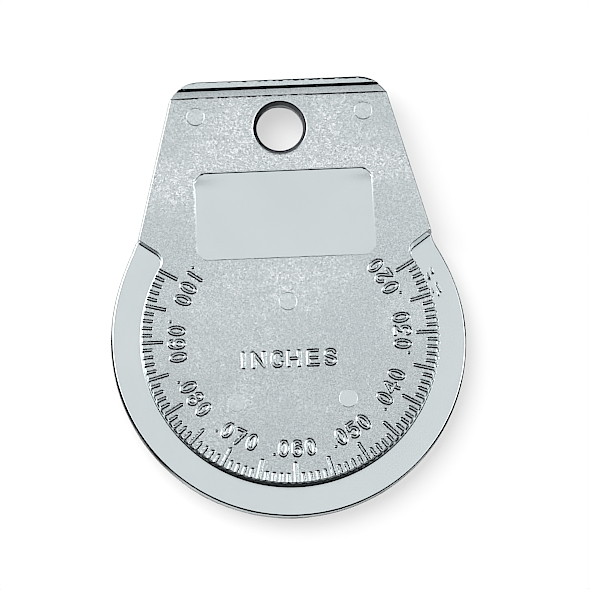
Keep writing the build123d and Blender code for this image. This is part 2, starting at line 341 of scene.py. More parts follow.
WALL = math.pi / 2 - math.atan(TAN_D)
CROWN = math.pi / 2 - math.atan(2 * TAN_C)
EDGE_R, RIM_EDGE_R, FOOT_R = 0.12, 0.27, 0.10
MOUTH = math.atan((HALF_T - LAND_TOP) / (HOLE_FRONT_R - HOLE_R))
TAPER = math.atan((HALF_T + LAND_LOW) / (HOLE_BACK_R - HOLE_R))


def rounded_profile(points, radii):
    """A broken line with its corners rounded, as points with rising x."""
    p = [np.array(v, float) for v in points]
    out = [p[0]]
    for i in range(1, len(p) - 1):
        a, b = unit(p[i - 1] - p[i]), unit(p[i + 1] - p[i])
        half = math.acos(float(np.clip(a @ b, -1, 1))) / 2
        t = radii[i - 1] / math.tan(half)
        s, e = p[i] + a * t, p[i] + b * t
        m = unit(a + b)
        c = p[i] + m * (radii[i - 1] / math.sin(half))
        a0, a1 = math.atan2(*(s - c)[::-1]), math.atan2(*(e - c)[::-1])
        sweep = (a1 - a0 + math.pi) % (2 * math.pi) - math.pi
        out += [c + radii[i - 1] * np.array([math.cos(a0 + sweep * k / 8), math.sin(a0 + sweep * k / 8)]) for k in range(9)]
    out.append(p[-1])
    return np.array(out)


GROOVE_LINE = [(20.0, 2.4), (28.72, 2.4), (28.80, 1.5), (29.67, 1.60), (29.78, 2.3), (40.0, 2.3)]
GROOVE = rounded_profile(GROOVE_LINE, [0.24, 0.08, 0.06, 0.08])
GROOVE_WORN = rounded_profile(GROOVE_LINE, [0.05, 0.08, 0.06, 0.08])


def rim_half(theta):
    return (THIN + (THICK - THIN) * (RAMP_START - theta) / RAMP_SWEEP) / 2


def rim_edge(theta):
    return np.interp(theta, *np.array(RIM_EDGE)[::-1].T) - 0.018 - rim_half(theta) * (TAN_C - 0.07)


def rim_round(theta):
    """Radius of the rounding between the rim's flank and its edge."""
    return np.minimum(RIM_EDGE_R, 0.8 * rim_half(theta))


def angle_of(xy):
    a = np.degrees(np.arctan2(xy[:, 1], xy[:, 0]))
    return np.where(a > 90, a - 360, a)


def rim_height(xy, under=False):
    """Height of the rim's flank above the parting plane, or below it. Above, its edge is crowned: upright at the parting
    plane, and leaning in more and more up to the flank. Below, it is straight."""
    theta = angle_of(xy)
    half = rim_half(theta)
    x = np.hypot(xy[:, 0], xy[:, 1]) - rim_edge(theta)
    wide = half * TAN_C
    if under:
        z = half + drop(x - wide + half * TAN_UNDER, rim_round(theta), math.pi / 2 - math.atan(TAN_UNDER))
    else:
        crown = np.where(x < wide, half * np.sqrt(np.clip(1 - x / wide, 0, 1)), (wide - x) * 20)
        z = np.minimum(np.where(x > 0, crown, half), np.where(x < 0.05, half + drop(x, rim_round(theta), CROWN), half))
    return np.where((theta < 38.0) & (theta > -218.0), z, -3.0)


def panel_distance(xy):
    qx, qy = np.abs(xy[:, 0] - PANEL[0]) - PANEL[2], np.abs(xy[:, 1] - PANEL[1]) - PANEL[3]
    s = math.sqrt(0.5)
    a, b, c = qx, qy, (qx + qy + PANEL[4]) * s
    k = 0.22                                             # rounds the two obtuse corners of each chamfer
    def blend(u, v):
        h = np.maximum(k - np.abs(u - v), 0) / k
        return np.maximum(u, v) + h * h * k * 0.25
    return blend(np.maximum(a, b), c)


def scars(xy):
    """How deep the nicks and the scratch are."""
    out = np.zeros(len(xy))
    for a, b, deep, wide in SCARS:
        p, r = np.array(a), np.array(b) - a
        t = np.clip(((xy - p) @ r) / (r @ r), 0, 1)
        off = xy - p - r * t[:, None]
        out = np.maximum(out, deep * np.exp(-((off ** 2).sum(1) / wide ** 2)))
    return out


def front(xy, d=None):
    """Height of the front above the parting plane."""
    if d is None:
        d = body_sdf(xy)
    x = xy[:, 0]
    even_edge = ease(-9.6, -10.6, x) + ease(2.5, 5.0, x) + np.clip(0.22 + 0.45 * np.sin(7.1 * x) * np.sin(3.3 * x + 1), 0, 1) * ease(-10.6, -9.6, x) * ease(5.0, 2.5, x)
    top = np.interp(xy[:, 1], GROOVE[:, 0], GROOVE[:, 1]) * even_edge + np.interp(xy[:, 1], GROOVE_WORN[:, 0], GROOVE_WORN[:, 1]) * (1 - even_edge)
    deep = PANEL_DEPTH * np.clip((xy[:, 1] - PANEL[1] + PANEL[3]) / (2 * PANEL[3]), 0, 1)
    deep = deep * (1 - 0.86 * ease(PANEL[2] - 6.0, PANEL[2] - 0.3, np.abs(xy[:, 0] - PANEL[0])) * ease(5.0, 3.0, np.abs(xy[:, 1] - PANEL[1])))
    top = top - deep * (1 - ease(-0.065, 0.015, panel_distance(xy)))
    for px, py in PINS:
        rho = np.hypot(xy[:, 0] - px, xy[:, 1] - py)
        faint = 0.35 if py < 0 else 0.8 if py < 10 else 1.0
        top = top - faint * 0.02 * (1 - ease(PIN_R - 0.06, PIN_R + 0.04, rho)) + faint * 0.007 * np.exp(-((rho - PIN_R - 0.06) / 0.06) ** 2)
    near = (d < 0.4) & (xy[:, 1] < 9.0) & (xy[:, 1] > -17.5)
    mark = np.zeros(len(xy))
    off = mark_distance(xy[near])
    mark[near] = MARK_H * (0.83 * (1 - ease(0.055, 0.270, off)) + 0.17 * (1 - ease(0.20, 0.37, off)))
    top = top + mark
    d = d - 0.10 * mark / MARK_H * ease(-35.0, 5.0, angle_of(xy)) * (d > -0.6)
    rho = np.hypot(xy[:, 0], xy[:, 1] - HOLE_Y)
    top = np.where(rho < HOLE_FRONT_R + 0.3, HALF_T + drop(HOLE_FRONT_R - rho, 0.15, MOUTH), top)
    # the lip's left end is worn down, and so is its outer edge, less and less to the right
    top = np.where(xy[:, 1] > 29.6, 1.62 + (top - 1.62) * ease(-12.1, -11.2, x), top)
    worn = 0.11 + 0.08 * ease(-11.0, 8.0, x) + 0.05 * np.sin(5.3 * x) * np.sin(2.1 * x + 0.4) - 0.08 * ease(-10.0, -11.0, x)
    return join(top, d, rim_height(xy), np.where(xy[:, 1] > 29.0, worn, EDGE_R)) - scars(xy)


def join(top, d, low, edge_r=EDGE_R):
    """The body's top, its edge, its wall and the small fillet where that stands on the rim."""
    upper = top + drop(d + (top - HALF_T) * TAN_D, edge_r, WALL)
    wall = HALF_T - d / TAN_D
    lower = low - drop((HALF_T - low) * TAN_D - d, FOOT_R, WALL)
    z = np.where(wall > (top + low) / 2, upper, lower)
    return np.maximum(z, low)


def back(xy, d=None):
    """Height of the back below the parting plane."""
    if d is None:
        d = body_sdf(xy)
    rho = np.hypot(xy[:, 0], xy[:, 1] - HOLE_Y)
    top = HALF_T + drop(HOLE_BACK_R - rho, 0.15, TAPER)
    return join(top, d, rim_height(xy, True))


# ------------------------------------------------------------------------------------------------ parting outline
PART_D = HALF_T * TAN_D - 0.004               # how far the walls run out between the flat face and the parting plane


def parting_outline():
    """The casting's outline at the parting plane: the body's, and the rim's wherever that stands out further."""
    body = BODY_PTS + BODY_N * PART_D
    theta = np.arange(38.0, -218.01, -0.05)
    reach = rim_edge(theta) + rim_half(theta) * TAN_C
    a = np.radians(theta)
    rim = np.stack([reach * np.cos(a), reach * np.sin(a)], 1)
    out = body_sdf(rim) > PART_D
    first, last = np.argmax(out), len(out) - 1 - np.argmax(out[::-1])
    rim, theta = rim[first:last + 1], theta[first:last + 1]
    r = np.hypot(body[:, 0], body[:, 1])
    ang = angle_of(body)
    inside = (r < np.interp(ang, theta[::-1], np.hypot(rim[::-1, 0], rim[::-1, 1]), left=0, right=0)) & (ang < theta[0]) & (ang > theta[-1])
    keep = np.where(~inside)[0]
    body = body[keep]
    # the kept body points run from the right-hand step, over the head, to the left-hand step
    start = np.argmin(np.hypot(*(body - rim[0]).T))
    body = np.roll(body, -start, 0)
    loop = np.concatenate([body, rim[::-1]])
    return loop, theta


LOOP, LOOP_THETA = parting_outline()


def resample(loop, step):
    nxt = np.roll(loop, -1, 0)
    seg = np.hypot(*(nxt - loop).T)
    pos = np.concatenate([[0], np.cumsum(seg)])
    n = int(pos[-1] / step)
    t = np.linspace(0, pos[-1], n, endpoint=False)
    closed = np.concatenate([loop, loop[:1]])
    return np.stack([np.interp(t, pos, closed[:, k]) for k in (0, 1)], 1)

# ------------------------------------------------------------------------------------------------ points for the meshes
def ring(cx, cy, radii, n, phase=0.0):
    t = np.arange(n) * 2 * math.pi / n + phase
    return np.concatenate([np.stack([cx + r * np.cos(t), cy + r * np.sin(t)], 1) for r in radii])


def row_offsets(line, offsets):
    """Points beside a line of points, one row for each offset to its left and right, and round caps on its ends."""
    if len(line) == 1:
        return np.concatenate([line, ring(line[0][0], line[0][1], [o * 0.72 for o in offsets if o > 0], 14)])
    d = np.gradient(line, axis=0)
    d /= np.hypot(d[:, 0], d[:, 1])[:, None]
    n = np.stack([-d[:, 1], d[:, 0]], 1)
    n /= np.hypot(n[:, 0], MARK_THIN * n[:, 1])[:, None]
    rows = [line + n * o * s for o in offsets for s in ((1, -1) if o > 0 else (1,))]
    for end, along in ((line[0], -d[0]), (line[-1], d[-1])):
        a = math.atan2(along[1], along[0])
        t = a + np.linspace(-math.pi / 2, math.pi / 2, 9)[1:-1]
        cap = np.stack([np.cos(t), np.sin(t)], 1) / np.hypot(np.cos(t), MARK_THIN * np.sin(t))[:, None]
        rows += [end + cap * o for o in offsets if o > 0]
    return np.concatenate(rows)


def even(line, step):
    seg = np.hypot(*np.diff(line, axis=0).T)
    pos = np.concatenate([[0], np.cumsum(seg)])
    n = max(2, int(round(pos[-1] / step)) + 1)
    t = np.linspace(0, pos[-1], n)
    return np.stack([np.interp(t, pos, line[:, k]) for k in (0, 1)], 1)


class Bag:
    """Collects points, leaving out those too near to one that is already there."""
    def __init__(self):
        self.cells, self.points = {}, []

    def add(self, pts, gap):
        for x, y in pts:
            i, j = int(x / 0.5 + 500), int(y / 0.5 + 500)
            bad = False
            for a in (i - 1, i, i + 1):
                for b in (j - 1, j, j + 1):
                    for u, v in self.cells.get((a, b), ()):
                        if (u - x) ** 2 + (v - y) ** 2 < gap * gap:
                            bad = True
                            break
                    if bad:
                        break
                if bad:
                    break
            if not bad:
                self.cells.setdefault((i, j), []).append((x, y))
                self.points.append((x, y))


BORDER = resample(LOOP, 0.22)
BORDER_SDF = Outline(BORDER)
RING_N = 96
HOLE_RING = ring(0, HOLE_Y, [HOLE_R], RING_N)


def wall_rows(columns, normals, extra=()):
    """Points on the edge, wall and foot of the body beside each column of its outline."""
    rows = [columns + normals * o for o in (-0.30, -0.118, -0.095, -0.07, -0.045, -0.02, 0.0, 0.0096) + tuple(extra)]
    foot = columns + normals * 0.15
    low = rim_height(foot)
    dj = (HALF_T - low) * TAN_D
    on_rim = (low > 0) & (BORDER_SDF(foot) < -0.12)
    for o in (-0.009, 0.008, 0.03, 0.055, 0.085, 0.125, 0.25):
        rows.append((columns + normals * (dj + o)[:, None])[on_rim])
    return np.concatenate(rows)


def front_points(fine=True):
    bag = Bag()
    bag.add(BORDER, 0.0)
    bag.add(HOLE_RING, 0.0)
    # edge and wall of the body; round the scale its columns come with the graduations, below
    ang = angle_of(BODY_PTS)
    scale = (ang < 31.6) & (ang > -211.6) & (BODY_PTS[:, 1] < 10)
    if not fine:                                         # the back has no graduations, and takes every third column here
        scale[np.where(scale)[0][::3]] = False
    pts = wall_rows(BODY_PTS[~scale], BODY_N[~scale])
    top = BODY_PTS[:, 1] > 28.2
    pts = np.concatenate([pts] + [BODY_PTS[top] + BODY_N[top] * o for o in (0.03, 0.05, 0.075, 0.1)])
    groups = [(pts, 0.006)]
    # rim's edge
    theta = np.radians(np.arange(35.2, -216.1, -0.6))
    edge = rim_edge(np.degrees(theta))
    u = np.stack([np.cos(theta), np.sin(theta)], 1)
    r, half = rim_round(np.degrees(theta)), rim_half(np.degrees(theta))
    rows = [u * (edge - 0.45)[:, None]]
    if fine:
        rows += [u * (edge + r * (math.sin(math.radians(o)) - math.tan(CROWN / 2)))[:, None] for o in (-1, 14, 28, 42, 55, 67, 76)]
        rows += [u * (edge + half * TAN_C * o)[:, None] for o in (0.25, 0.5, 0.72, 0.9)]
    else:
        corner = edge + half * (TAN_C - TAN_UNDER)
        rows += [u * (corner + r * (math.sin(math.radians(o)) - 0.966))[:, None] for o in (-1, 20, 40, 60, 80)]
    groups.append((np.concatenate(rows), 0.006))
    if fine:
        # graduations
        ticks = []
        for i in range(81):
            a = math.radians(RAMP_START - 3.0 * i)
            inner = TICK_LONG_R if i % 5 == 0 else TICK_SHORT_R
            ax, side = np.array([math.cos(a), math.sin(a)]), np.array([-math.sin(a), math.cos(a)])
            side = side / math.hypot(side[0], MARK_THIN * side[1])
            offs = [0.0] + [s * o for o in MARK_ROWS for s in (1, -1)] + [0.45]
            for o in offs:
                base = math.sqrt(DISC_R ** 2 - o * o)
                start = inner + (0.20 if abs(o) < 0.36 else -0.1)
                along = np.concatenate([np.arange(start, base - 0.30, 0.17), base + np.array([-0.24, -0.118, -0.09, -0.06, -0.03, -0.005, 0.0096])])
                low = rim_half(RAMP_START - 3.0 * i)
                dj = (HALF_T - low) * TAN_D
                along = np.concatenate([along, base + dj + np.array([-0.009, 0.008, 0.03, 0.055, 0.085, 0.125, 0.25])])
                ticks.append(ax * along[:, None] + side * o)
            t = a + math.pi + np.linspace(-math.pi / 2, math.pi / 2, 9)
            tip = ax * (inner + 0.20)
            cap = np.stack([np.cos(t), np.sin(t)], 1) / np.hypot(np.cos(t), MARK_THIN * np.sin(t))[:, None]
            ticks += [tip + cap * o for o in MARK_ROWS]
        groups.append((np.concatenate(ticks), 0.022))
        # figures and letters
        for pts, _ in MARKS[81:]:
            line = even(pts, 0.12) if len(pts) > 1 else pts
            offs = (0.0,) + MARK_ROWS
            groups.append((row_offsets(line, offs), 0.03))
        # panel
        px, py, hx, hy, c = PANEL
        loop = np.array([(hx, -hy + c), (hx, hy - c), (hx - c, hy), (-hx + c, hy), (-hx, hy - c), (-hx, -hy + c), (-hx + c, -hy), (hx - c, -hy)])
        line = even(np.concatenate([loop, loop[:1]]), 0.2)[:-1]
        grid = []
        for o in (-0.2, -0.067, -0.052, -0.038, -0.025, -0.012, 0.002, 0.017, 0.15):
            d = panel_distance(line + (px, py))
            e = 1e-3
            g = np.stack([panel_distance(line + (px + e, py)) - d, panel_distance(line + (px, py + e)) - d], 1) / e
            grid.append(line + (px, py) + g * (o - d)[:, None])
        groups.append((np.concatenate(grid), 0.02))
        for x, y in PINS:
            groups.append((ring(x, y, [0.5, 0.93, 0.955, 0.98, 1.005, 1.03, 1.055, 1.08, 1.12, 1.16, 1.22], 40), 0.018))
        for a, b, _, wide in SCARS:
            groups.append((row_offsets(even(np.array([a, b]), 0.12), (0.0, 0.04, 0.08, 0.12, 0.17)), 0.03))
        # bending lip
        ys = sorted(set(np.round(GROOVE[1:-1, 0], 4)) | {29.1, 29.4})
        xs = np.arange(-13.2, 13.21, 0.25)
        rows = np.array([(x, y) for y in ys for x in xs])
        rows = rows[body_sdf(rows) < 0.06]
        groups.append((rows, 0.006))
    # hole
    mouth = HOLE_FRONT_R if fine else HOLE_BACK_R
    groups.append((ring(0, HOLE_Y, [mouth + o for o in (0.25, 0.136, 0.11, 0.08, 0.05, 0.02, -0.005, -0.03, -0.06)], RING_N), 0.012))
    groups.append((ring(0, HOLE_Y, [2.8, 2.9, 3.0] if fine else [2.95, 3.2], RING_N), 0.012))
    for pts, gap in groups:
        d = BORDER_SDF(pts)
        rho = np.hypot(pts[:, 0], pts[:, 1] - HOLE_Y)
        pts = pts[(d < -0.004) & (rho > HOLE_R + 0.01)]
        bag.add(pts, gap)
    # open areas
    step = 0.5 if fine else 0.9
    xs, ys = np.arange(-21, 21, step), np.arange(-21, 31, step * 0.866)
    grid = np.array([(x + (j % 2) * step / 2, y) for j, y in enumerate(ys) for x in xs])
    rho = np.hypot(grid[:, 0], grid[:, 1] - HOLE_Y)
    grid = grid[(BORDER_SDF(grid) < -0.1) & (rho > HOLE_R + 0.1)]
    bag.add(grid, step * 0.5)
    return np.array(bag.points)


def surface(points, height, land):
    """Triangles of the height field over the outline, with heights and normals at its points."""
    nb, nh = len(BORDER), RING_N
    edges = [(i, (i + 1) % nb) for i in range(nb)] + [(nb + i, nb + (i + 1) % nh) for i in range(nh)]
    verts, _, faces, orig, _, _ = delaunay_2d_cdt([Vector(p) for p in points], edges, [], 0, 1e-7)
    xy = np.array([tuple(v) for v in verts])
    tri = np.array([tuple(f) for f in faces])
    # put the border's and the ring's points first, in their own order
    new = {}
    for i, o in enumerate(orig):
        for k in o:
            new[k] = i
    order = [new[k] for k in range(nb + nh)]
    seen = set(order)
    order += [i for i in range(len(xy)) if i not in seen]
    back_to = np.empty(len(xy), int)
    back_to[order] = np.arange(len(xy))
    xy, tri = xy[order], back_to[tri]
    mid = xy[tri].mean(1)
    inside = (BORDER_SDF(mid) < 0) & (np.hypot(mid[:, 0], mid[:, 1] - HOLE_Y) > HOLE_R * math.cos(math.pi / nh) - 1e-6)
    tri = tri[inside]
    a, b, c = (xy[tri[:, k]] for k in range(3))
    cross = (b[:, 0] - a[:, 0]) * (c[:, 1] - a[:, 1]) - (b[:, 1] - a[:, 1]) * (c[:, 0] - a[:, 0])
    tri[cross < 0] = tri[cross < 0][:, ::-1]
    z = height(xy)
    z[:nb] = 0.0
    z[nb:nb + nh] = land
    e = 0.003
    gx = (height(xy + (e, 0)) - height(xy - (e, 0))) / (2 * e)
    gy = (height(xy + (0, e)) - height(xy - (0, e))) / (2 * e)
    n = np.stack([-gx, -gy, np.ones(len(xy))], 1)
    n /= np.linalg.norm(n, axis=1)[:, None]
    return xy, z, tri, n


fxy, fz, ftri, fn = surface(front_points(True), front, LAND_TOP)
bxy, bz, btri, bn = surface(front_points(False), back, -LAND_LOW)

# ------------------------------------------------------------------------------------------------ the casting's mesh
def casting():
    nf, nb, nh = len(fxy), len(BORDER), RING_N
    verts = np.concatenate([np.column_stack([fxy, HALF_T + fz]), np.column_stack([bxy[nb:], HALF_T - bz[nb:]])]) / 1000
    shift = np.concatenate([np.arange(nb), np.arange(nb, len(bxy)) - nb + nf])
    back_faces = shift[btri][:, ::-1]
    i = np.arange(nh)
    j = (i + 1) % nh
    a, b, c, d = nb + i, nb + j, nf + j, nf + i           # front ring, front ring, back ring, back ring
    land = np.concatenate([np.stack([a, b, c], 1), np.stack([a, c, d], 1)])
    faces = np.concatenate([ftri, back_faces, land])
    t = i * 2 * math.pi / nh
    ring_n = -np.stack([np.cos(t), np.sin(t), np.zeros(nh)], 1)
    land_n = np.concatenate([np.stack([ring_n[i], ring_n[j], ring_n[j]], 1), np.stack([ring_n[i], ring_n[j], ring_n[i]], 1)])
    flip = bn * (1, 1, -1)
    normals = np.concatenate([fn[ftri].reshape(-1, 3), flip[btri[:, ::-1]].reshape(-1, 3), land_n.reshape(-1, 3)])
    me = bpy.data.meshes.new("gauge_casting")
    me.vertices.add(len(verts))
    me.vertices.foreach_set("co", verts.ravel())
    me.loops.add(faces.size)
    me.loops.foreach_set("vertex_index", faces.ravel())
    me.polygons.add(len(faces))
    me.polygons.foreach_set("loop_start", np.arange(len(faces)) * 3)
    me.update(calc_edges=True)
    me.polygons.foreach_set("use_smooth", np.ones(len(faces), bool))
    # masks for the material: cast skin on the flat faces, the crests of the raised marks, and the corner where the wall
    # stands on the rim, painted dark there as shade, most on the right and below
    d = body_sdf(fxy)
    skin = 1 - ease(-0.16, -0.02, d)
    skin *= ease(0.02, 0.12, panel_distance(fxy))
    skin *= 1 - 0.6 * ease(28.50, 28.66, fxy[:, 1])
    for px, py in PINS:
        left = 0.1 if px > 0 and py < 0 else 0.6
        skin *= left + (1 - left) * ease(PIN_R - 0.02, PIN_R + 0.10, np.hypot(fxy[:, 0] - px, fxy[:, 1] - py))
    skin *= ease(HOLE_FRONT_R + 0.06, HOLE_FRONT_R + 0.20, np.hypot(fxy[:, 0], fxy[:, 1] - HOLE_Y))
    crest = np.zeros(len(fxy))
    near = (d < 0.0) & (fxy[:, 1] < 9.0)
    crest[near] = 1 - ease(0.05, 0.16, mark_distance(fxy[near]))
    low = rim_height(fxy)
    past = d - (HALF_T - low) * TAN_D
    angle = angle_of(fxy)
    foot = ease(-0.13, -0.03, past) * ease(0.10, 0.02, past) * (low > 0) * (0.12 + 0.88 * ease(-150.0, -110.0, angle) * ease(36.0, 30.0, angle))
    d = body_sdf(bxy)
    skin_b = (1 - ease(-0.16, -0.02, d)) * ease(HOLE_BACK_R + 0.06, HOLE_BACK_R + 0.20, np.hypot(bxy[:, 0], bxy[:, 1] - HOLE_Y))
    # the rim's edge below the parting line is painted dark along the bottom of the dial, a painted shade
    angle = angle_of(bxy)
    under = ease(-0.25, -0.08, np.hypot(bxy[:, 0], bxy[:, 1]) - rim_edge(angle)) * ease(-165.0, -135.0, angle) * ease(-5.0, -35.0, angle)
    # its upper corner is painted nearly black, on the left below the middle and a little on the right, a painted dark
    # reflection
    angle, past = angle_of(fxy), np.hypot(fxy[:, 0], fxy[:, 1]) - rim_edge(angle_of(fxy))
    edge = ease(-0.12, -0.04, past) * (0.95 * ease(-190.0, -180.0, angle) * ease(-125.0, -140.0, angle) + 0.80 * ease(-50.0, -30.0, angle) * ease(12.0, 2.0, angle))
    for name, values in (("edge", np.concatenate([edge, np.zeros(len(bxy) - nb)])), ("skin", np.concatenate([skin, skin_b[nb:]])), ("crest", np.concatenate([crest, np.zeros(len(bxy) - nb)])),
                         ("foot", np.concatenate([foot, np.zeros(len(bxy) - nb)])),
                         ("under", np.concatenate([np.zeros(len(fxy)), under[nb:]]))):
        at = me.attributes.new(name, "FLOAT", "POINT")
        at.data.foreach_set("value", values)
    me.normals_split_custom_set(normals)
    ob = bpy.data.objects.new("gauge_casting", me)
    bpy.context.scene.collection.objects.link(ob)
    return ob


gauge = casting()


# ------------------------------------------------------------------------------------------------ materials
class Tree:
    def __init__(self, mat):
        mat.use_nodes = True
        self.t = mat.node_tree
        self.t.nodes.clear()

    def node(self, kind, **kw):
        n = self.t.nodes.new(kind)
        for k, v in kw.items():
            if k in ("inputs",):
                for name, val in v.items():
                    self.put(n, name, val)
            else:
                setattr(n, k, v)
        return n

    def put(self, n, name, val):
        s = n.inputs[name]
        if isinstance(val, bpy.types.NodeSocket):
            self.t.links.new(val, s)
        elif isinstance(val, bpy.types.Node):
            self.t.links.new(val.outputs[0], s)
        else:
            s.default_value = val

    def math(self, op, a, b=0.0, c=None, clamp=False):
        n = self.node("ShaderNodeMath", operation=op, use_clamp=clamp)
        self.put(n, 0, a)
        self.put(n, 1, b)
        if c is not None:
            self.put(n, 2, c)
        return n.outputs[0]

    def noise(self, vec, scale, detail=2.0, rough=0.5, dist=0.0, w=None):
        n = self.node("ShaderNodeTexNoise", noise_dimensions="4D" if w is not None else "3D")
        self.put(n, "Vector", vec)
        self.put(n, "Scale", scale)
        self.put(n, "Detail", detail)
        self.put(n, "Roughness", rough)
        self.put(n, "Distortion", dist)
        if w is not None:
            self.put(n, "W", w)
        return n.outputs[0]

    def ramp(self, fac, lo, hi, a=0.0, b=1.0):
        n = self.node("ShaderNodeMapRange", interpolation_type="SMOOTHSTEP")
        for k, v in (("Value", fac), ("From Min", lo), ("From Max", hi), ("To Min", a), ("To Max", b)):
            self.put(n, k, v)
        return n.outputs[0]

    def mix(self, fac, a, b, mode="MIX"):
        n = self.node("ShaderNodeMix", data_type="RGBA", blend_type=mode)
        self.put(n, 0, fac)
        for i, v in ((6, a), (7, b)):
            if isinstance(v, (tuple, list)):
                n.inputs[i].default_value = (*v, 1.0)
            else:
                self.t.links.new(v, n.inputs[i])
        return n.outputs[2]


mat = bpy.data.materials.new("plated_zinc")
T = Tree(mat)
co = T.node("ShaderNodeTexCoord").outputs["Object"]
skin = T.node("ShaderNodeAttribute", attribute_name="skin").outputs["Fac"]
crest = T.node("ShaderNodeAttribute", attribute_name="crest").outputs["Fac"]
foot = T.node("ShaderNodeAttribute", attribute_name="foot").outputs["Fac"]
under = T.node("ShaderNodeAttribute", attribute_name="under").outputs["Fac"]
edge = T.node("ShaderNodeAttribute", attribute_name="edge").outputs["Fac"]
place = T.node("ShaderNodeSeparateXYZ", inputs={"Vector": co})
px, py = place.outputs["X"], place.outputs["Y"]


def hill(x, y, wide, tall, k=1.0):
    """A soft round rise, 1 in the middle, over a place on the face (mm)."""
    u = T.math("MULTIPLY_ADD", px, 1000.0 / wide, -x / wide)
    v = T.math("MULTIPLY_ADD", py, 1000.0 / tall, -y / tall)
    q = T.math("ADD", T.math("MULTIPLY", u, u), T.math("MULTIPLY", v, v))
    return T.math("MULTIPLY", T.math("EXPONENT", T.math("MULTIPLY", q, -1.0)), k)


def total(parts):
    out = parts[0]
    for p in parts[1:]:
        out = T.math("ADD", out, p)
    return out


# cast skin: chilled crystals, thick where the metal met on both sides of the hole and under it, thin near the edges
blotch = T.noise(co, 150.0, 3.0, 0.6)
thick = total([hill(-5.6, 25.2, 2.6, 4.0), hill(5.4, 25.0, 2.2, 4.2), hill(0, 20.8, 13.0, 1.6, 0.8), hill(-12.8, 18.6, 2.2, 2.4, 0.6),
               hill(-6.5, 2.5, 5.5, 6.0, 0.45), hill(3.0, 6.5, 8.0, 2.6, 0.4), hill(-3, -6, 5, 4, 0.2), hill(11, 20, 3, 2.5, 0.5),
               hill(-3, 19, 14, 7, 0.42), hill(-4.5, 22.0, 6.0, 4.5, 0.35)])
thick = T.math("ADD", T.math("MULTIPLY", thick, T.ramp(blotch, 0.30, 0.62, 0.45, 1.15)), T.ramp(blotch, 0.42, 0.75, 0.10, 0.42))
thick = T.math("MINIMUM", thick, 1.0)
wobble = T.node("ShaderNodeTexNoise", inputs={"Vector": co, "Scale": 4500.0, "Detail": 1.0})
warp = T.node("ShaderNodeVectorMath", operation="MULTIPLY_ADD", inputs={0: wobble.outputs["Color"], 1: (0.00022, 0.00022, 0.0), 2: co})
cell = T.node("ShaderNodeTexVoronoi", inputs={"Vector": warp, "Scale": 5200.0, "Randomness": 1.0})
pick = T.node("ShaderNodeSeparateColor", inputs={0: cell.outputs["Color"]})
light = T.math("MULTIPLY", T.ramp(pick.outputs[0], 0.35, 0.95), thick)
dull = T.math("MULTIPLY", T.ramp(pick.outputs[1], 0.80, 0.98), T.math("MULTIPLY_ADD", thick, 0.6, 0.25))
grain = T.noise(co, 6000.0, 2.0, 0.6)
fine = T.noise(co, 9000.0, 2.0, 0.5)
skin_tone = T.mix(T.ramp(grain, 0.30, 0.72), (0.425, 0.472, 0.487), (0.565, 0.616, 0.632))
skin_tone = T.mix(T.math("MULTIPLY", thick, 0.75), skin_tone, (0.610, 0.660, 0.675))
skin_tone = T.mix(T.math("MULTIPLY", light, 0.60), skin_tone, (0.92, 0.94, 0.95))
skin_tone = T.mix(T.math("MULTIPLY", dull, 0.45), skin_tone, (0.32, 0.35, 0.365))
skin_tone = T.mix(T.math("MULTIPLY", T.ramp(pick.outputs[2], 0.96, 0.99), T.math("MULTIPLY_ADD", thick, 0.35, 0.15)), skin_tone, (0.95, 0.96, 0.96))
# the face is painted a little darker towards the bottom, a painted shade
skin_tone = T.mix(T.ramp(py, 0.003, -0.006, 0.0, 0.055), skin_tone, (0.0, 0.0, 0.0))
smooth_tone = T.mix(T.ramp(blotch, 0.3, 0.7), (0.585, 0.638, 0.654), (0.605, 0.657, 0.672))
base = T.mix(skin, smooth_tone, skin_tone)
base = T.mix(T.math("MULTIPLY", crest, 0.40), base, (0.48, 0.53, 0.545))
# painted shade in the corner where the body's wall stands on the rim
base = T.mix(T.math("MULTIPLY", foot, 0.65), base, (0.10, 0.11, 0.115))
# painted shade on the rim's edge below the parting line
base = T.mix(T.math("MULTIPLY", under, 0.80), base, (0.14, 0.15, 0.155))
# painted dark reflection on the rim's upper corner
base = T.mix(edge, base, (0.018, 0.020, 0.022))
# the channel under the lip is painted darker, and darker still towards the lip's wall: a painted shade in the recess
channel = T.math("MULTIPLY", T.ramp(py, 0.02872, 0.02882), T.ramp(py, 0.02984, 0.02966))
channel = T.math("MULTIPLY", channel, T.ramp(py, 0.02895, 0.02960, 0.8, 1.3))
base = T.mix(T.math("MULTIPLY", channel, T.ramp(grain, 0.25, 0.65, 0.75, 0.45)), base, (0.33, 0.36, 0.375))
height = T.math("MULTIPLY", T.math("ADD", grain, T.math("MULTIPLY", pick.outputs[0], 0.35)), T.math("MULTIPLY", skin, T.math("MULTIPLY_ADD", thick, 0.7, 0.5)))
bump = T.node("ShaderNodeBump", inputs={"Strength": 1.0, "Distance": 0.000030, "Height": height})
shader = T.node("ShaderNodeBsdfPrincipled", inputs={"Base Color": base, "Metallic": 1.0, "Normal": bump,
                "Roughness": T.math("MULTIPLY_ADD", skin, 0.06, T.ramp(fine, 0.3, 0.7, 0.15, 0.21))})
out = T.node("ShaderNodeOutputMaterial", inputs={"Surface": shader})
gauge.data.materials.append(mat)
